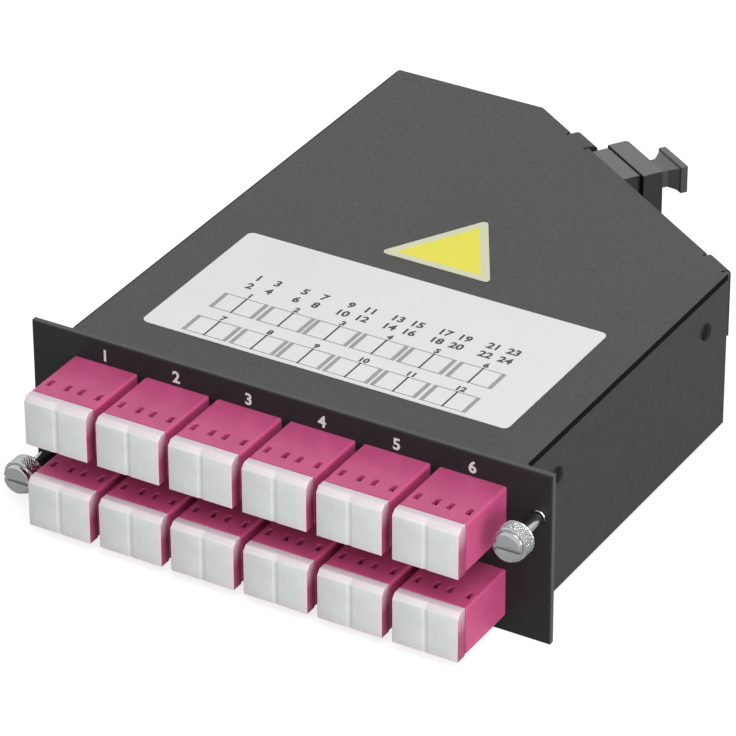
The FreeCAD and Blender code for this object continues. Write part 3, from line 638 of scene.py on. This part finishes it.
screw_mesh = thumb_screw_mesh()
for side in SIDES:
    place = front_middle(*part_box("thumb_screw_" + side))
    name = "captive_screw_" + side
    screw = as_piece(name, screw_mesh.copy(), chrome, "screw_" + side, place)
    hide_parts("thumb_screw_" + side)


# Lid screws: side of the housing, distance behind the plate, height

LID_SCREWS = ((1, 10.5, 9.0), (1, 65.1, 9.0), (-1, 40.8, 9.0), (-1, 92.8, 9.0))
LID_SCREW_TURN = 0.3
DOME = ((0, -0.5), (0.7, -0.49), (1.15, -0.43), (1.45, -0.3), (1.57, -0.14), (1.6, -0.04), (1.6, 0))
LID_SCREW_SHANK = ((1.1, 0), (1.1, 2.3), (0.8, 2.6), (0, 2.6))
CROSS_REACH = 0.85
CROSS_HALF_WIDTH = 0.17
CROSS_FRONT = -2
CROSS_FLOOR = -0.1
LID_SCREW_SEGMENTS = 48
LID_SCREW_SMOOTHED_BELOW = 30


def lid_screw_mesh():
    """Low domed head with a cross recess, its seat at y = 0 and its shank behind."""
    mesh = lathe("lid_screw", DOME + LID_SCREW_SHANK, LID_SCREW_SEGMENTS)
    arms = ((CROSS_REACH, CROSS_HALF_WIDTH), (CROSS_HALF_WIDTH, CROSS_REACH))
    mesh = cut(mesh, [((-x, CROSS_FRONT, -z), (x, CROSS_FLOOR, z)) for x, z in arms])
    smooth_by_angle(mesh, LID_SCREW_SMOOTHED_BELOW)
    return mesh


screw_mesh = lid_screw_mesh()
wall = {1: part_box("lid")[1].x, -1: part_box("lid")[0].x}
for number, (side, y, z) in enumerate(LID_SCREWS, 1):
    outward = Matrix.Rotation(side * math.pi / 2, 4, "Z")
    turn = outward @ Matrix.Rotation(LID_SCREW_TURN * number, 4, "Y")
    place = Matrix.Translation((wall[side], y * MM, z * MM)) @ turn
    name = "lid_screw_%d" % number
    piece = as_piece(name, screw_mesh.copy(), black_steel, ROOT, place)
    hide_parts("lid_screws")


# Printing: flat marks just above the surface that carries them

INK_LIFT = 0.008


def flat_mesh(outlines):
    shape = bmesh.new()
    for outline in outlines:
        shape.faces.new([vertex(shape, x, y) for x, y in outline])
    return mesh_of(shape, "print")


def bar(x, y, width, height):
    """Corners of an upright rectangle about its middle."""
    return [
        (x - width / 2, y - height / 2),
        (x + width / 2, y - height / 2),
        (x + width / 2, y + height / 2),
        (x - width / 2, y + height / 2),
    ]


def numerals(marks, size, weight):
    """One flat mesh of numbers, each (text, x, y) about its place, with thickened strokes."""
    meshes = []
    for text, x, y in marks:
        curve = bpy.data.curves.new("number", "FONT")
        curve.body = text
        curve.size = size * MM
        curve.offset = weight * MM
        curve.align_x = "CENTER"
        curve.align_y = "CENTER"
        curve.resolution_u = 3
        made = bpy.data.objects.new("number", curve)
        mesh = bpy.data.meshes.new_from_object(made)
        mesh.transform(Matrix.Translation(Vector((x, y, 0)) * MM))
        meshes.append(mesh)
        bpy.data.objects.remove(made)
    return joined("numbers", meshes)


# The port label's chart: two rows of six cells, each split in two and numbered, and the ports'
# numbers in two rows behind them

PORT_GROUPS = (-22.6, -13.1, -3.8, 5.6, 15.0, 24.6)
PORT_ROWS = (20.65, 11.75)
NUMBER_ROWS = (30.5, 27.4)
NUMBER_SPREAD = 1.95
NUMBER_SIZE = 2.6
CELL_NUMBER_RISE = 3.7
CELL_NUMBER_SIZE = 2.0
CELL_DEPTH = 5.6
CELL_SIDE = 4.1
CELL_SIDE_WIDTH = 0.8
CELL_END = 2.65
CELL_END_LENGTH = 7.4
CELL_END_WIDTH = 0.25
DIVIDER_WIDTH = 0.36
LABEL_WEIGHT = 0.1

column_marks = []
group_marks = []
dividers = []
frames = []
for group, x in enumerate(PORT_GROUPS):
    for half, shift in enumerate((-NUMBER_SPREAD, NUMBER_SPREAD)):
        first = 4 * group + 2 * half + 1
        column_marks += [(str(first + row), x + shift, y) for row, y in enumerate(NUMBER_ROWS)]
    for row, y in enumerate(PORT_ROWS):
        number = group + 1 + row * len(PORT_GROUPS)
        group_marks.append((str(number), x, y + CELL_NUMBER_RISE))
        dividers.append(bar(x, y, DIVIDER_WIDTH, CELL_DEPTH))
        for way in (-1, 1):
            frames.append(bar(x + way * CELL_SIDE, y, CELL_SIDE_WIDTH, CELL_DEPTH))
            frames.append(bar(x, y + way * CELL_END, CELL_END_LENGTH, CELL_END_WIDTH))

label_top = Matrix.Translation((0, 0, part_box("port_label")[1].z + INK_LIFT * MM))
for name, mesh, print_ink in (
    ("label_numbers", numerals(column_marks, NUMBER_SIZE, LABEL_WEIGHT), dark_ink),
    ("label_ports", numerals(group_marks, CELL_NUMBER_SIZE, LABEL_WEIGHT), dark_ink),
    ("label_dividers", flat_mesh(dividers), dark_ink),
    ("label_frames", flat_mesh(frames), grey_ink),
):
    as_piece(name, mesh, print_ink, ROOT, label_top)


# The numbers on the plate, one over each column of adapters

PLATE_NUMBER_HEIGHT = 13.7
PLATE_NUMBER_SIZE = 3.1
PLATE_NUMBER_WEIGHT = 0.09

upright = Matrix.Rotation(math.pi / 2, 4, "X")
plate_front = Matrix.Translation((0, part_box("front_plate")[0].y - INK_LIFT * MM, 0)) @ upright
port_marks = []
for port in UPPER_PORTS:
    low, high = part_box("lc_adapter_" + port)
    port_marks.append((str(int(port)), (low.x + high.x) / 2 / MM, PLATE_NUMBER_HEIGHT))
port_mesh = numerals(port_marks, PLATE_NUMBER_SIZE, PLATE_NUMBER_WEIGHT)
as_piece("port_numbers", port_mesh, white_ink, ROOT, plate_front)


# The yellow field of the triangular label

YELLOW_FIELD = ((-8.6, 51.0), (8.6, 51.0), (0, 65.9))

field_place = Matrix.Translation((0, 0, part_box("triangle_label")[1].z + INK_LIFT * MM))
field_mesh = flat_mesh([YELLOW_FIELD])
as_piece("yellow_field", field_mesh, yellow_ink, ROOT, field_place)


# Painted shade along the lid's two long edges: a near-black film over each edge's top margin and
# side, where the gap between lid and wall lies in shade

SEAM_MARGIN = 0.22
SEAM_DROP = 0.84
SEAM_ENDS = {"left": (0.4, 111.9), "right": (0.4, 73.2)}


def seam_mesh(edge, outward, ends):
    """The painted-shade film over a lid edge at x = edge, folded along it."""
    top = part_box("lid")[1].z / MM + INK_LIFT
    outer = edge + outward * INK_LIFT
    section = [(edge - outward * SEAM_MARGIN, top), (outer, top), (outer, top - SEAM_DROP)]
    shape = bmesh.new()
    near, far = [[vertex(shape, x, y, z) for x, z in section] for y in ends]
    for index in range(len(section) - 1):
        shape.faces.new((near[index], near[index + 1], far[index + 1], far[index]))
    return mesh_of(shape, "lid_seam_shade")


for side, corner, outward in (("left", 0, -1), ("right", 1, 1)):
    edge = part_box("lid")[corner].x / MM
    mesh = seam_mesh(edge, outward, SEAM_ENDS[side])
    as_piece("lid_seam_shade_" + side, mesh, painted_seam_shade, ROOT)


# The camera, fitted to the photograph: angles in degrees, place in millimetres

AZIMUTH = 30.519
ELEVATION = 30.72
ROLL = -0.256
LENS = 234.69
SENSOR_WIDTH = 36
CAMERA_PLACE = (363.703, -590.566, 433.513)


def camera():
    azimuth, elevation, roll = (math.radians(angle) for angle in (AZIMUTH, ELEVATION, ROLL))
    back = Vector((
        math.sin(azimuth) * math.cos(elevation),
        -math.cos(azimuth) * math.cos(elevation),
        math.sin(elevation),
    ))
    level = Vector((0, 0, 1)).cross(back).normalized()
    rise = back.cross(level)
    right = level * math.cos(roll) + rise * math.sin(roll)
    up = rise * math.cos(roll) - level * math.sin(roll)
    data = bpy.data.cameras.new("camera")
    data.sensor_width = SENSOR_WIDTH
    data.lens = LENS
    data.clip_start = 10 * MM
    made = in_scene("camera", data)
    turn = Matrix((right, up, back)).transposed().to_4x4()
    made.matrix_world = Matrix.Translation(Vector(CAMERA_PLACE) * MM) @ turn
    bpy.context.scene.camera = made


# The light and the floor, in metres

AMBIENT = 0.42
FLOOR_HALF = 3.0
FLOOR_WHITE = 0.75
FLOOR_REFLECTED = 0.1
SOFTBOX_SIZE = 0.6
LIT_POINT = Vector((0, 0.05, 0))


def white_to_viewer(tree, camera_strength, reflection_strength):
    """How much plain white the camera sees, and how much reflections and glass see."""
    def math_node(operation, first):
        made = tree.nodes.new("ShaderNodeMath")
        made.operation = operation
        tree.links.new(first, made.inputs[0])
        return made

    path = tree.nodes.new("ShaderNodeLightPath")
    reflected = math_node("MAXIMUM", path.outputs["Is Glossy Ray"])
    tree.links.new(path.outputs["Is Transmission Ray"], reflected.inputs[1])
    seen = math_node("MULTIPLY", path.outputs["Is Camera Ray"])
    seen.inputs[1].default_value = camera_strength
    mirrored = math_node("MULTIPLY", reflected.outputs["Value"])
    mirrored.inputs[1].default_value = reflection_strength
    both = math_node("ADD", seen.outputs["Value"])
    tree.links.new(mirrored.outputs["Value"], both.inputs[1])
    return both.outputs["Value"]


def world():
    """Even light all round, behind a white that only the camera and reflections see."""
    made = bpy.data.worlds.new("studio")
    bpy.context.scene.world = made
    made.use_nodes = True
    tree = made.node_tree
    light = tree.nodes["Background"]
    light.inputs["Color"].default_value = (1, 1, 1, 1)
    light.inputs["Strength"].default_value = AMBIENT
    white = tree.nodes.new("ShaderNodeBackground")
    white.inputs["Color"].default_value = (1, 1, 1, 1)
    white.inputs["Strength"].default_value = 1.0
    mix = tree.nodes.new("ShaderNodeMixShader")
    tree.links.new(white_to_viewer(tree, 1.0, 1.0), mix.inputs["Fac"])
    tree.links.new(light.outputs["Background"], mix.inputs[1])
    tree.links.new(white.outputs["Background"], mix.inputs[2])
    tree.links.new(mix.outputs["Shader"], tree.nodes["World Output"].inputs["Surface"])


def floor():
    """A pale floor under the object, which shows as white and keeps the object's shadow."""
    low = CAD_BOX[0].z
    corners = ((-1, -1), (1, -1), (1, 1), (-1, 1))
    points = [(x * FLOOR_HALF, y * FLOOR_HALF, low) for x, y in corners]
    mesh = bpy.data.meshes.new("floor")
    mesh.from_pydata(points, [], [(0, 1, 2, 3)])
    made = in_scene("floor", mesh)
    material = bpy.data.materials.new("floor")
    material.use_nodes = True
    tree = material.node_tree
    paint = tree.nodes["Principled BSDF"]
    paint.inputs["Base Color"].default_value = (*grey(0.5), 1)
    paint.inputs["Roughness"].default_value = 0.9
    paint.inputs["Specular IOR Level"].default_value = 0.0
    white = tree.nodes.new("ShaderNodeEmission")
    strength = white_to_viewer(tree, FLOOR_WHITE, FLOOR_REFLECTED)
    tree.links.new(strength, white.inputs["Strength"])
    both = tree.nodes.new("ShaderNodeAddShader")
    tree.links.new(paint.outputs["BSDF"], both.inputs[0])
    tree.links.new(white.outputs["Emission"], both.inputs[1])
    tree.links.new(both.outputs["Shader"], tree.nodes["Material Output"].inputs["Surface"])
    mesh.materials.append(material)


def softbox(name, place, power):
    data = bpy.data.lights.new(name, "AREA")
    data.shape = "SQUARE"
    data.size = SOFTBOX_SIZE
    data.energy = power
    away = Vector(place) - LIT_POINT
    turn = away.to_track_quat("Z", "Y").to_matrix().to_4x4()
    in_scene(name, data).matrix_world = Matrix.Translation(place) @ turn


camera()
world()
floor()
softbox("key", place=(0.45, -0.45, 0.75), power=5.85)
softbox("fill", place=(0.85, -0.45, 0.12), power=6.0)
bpy.context.scene.view_settings.view_transform = "Standard"
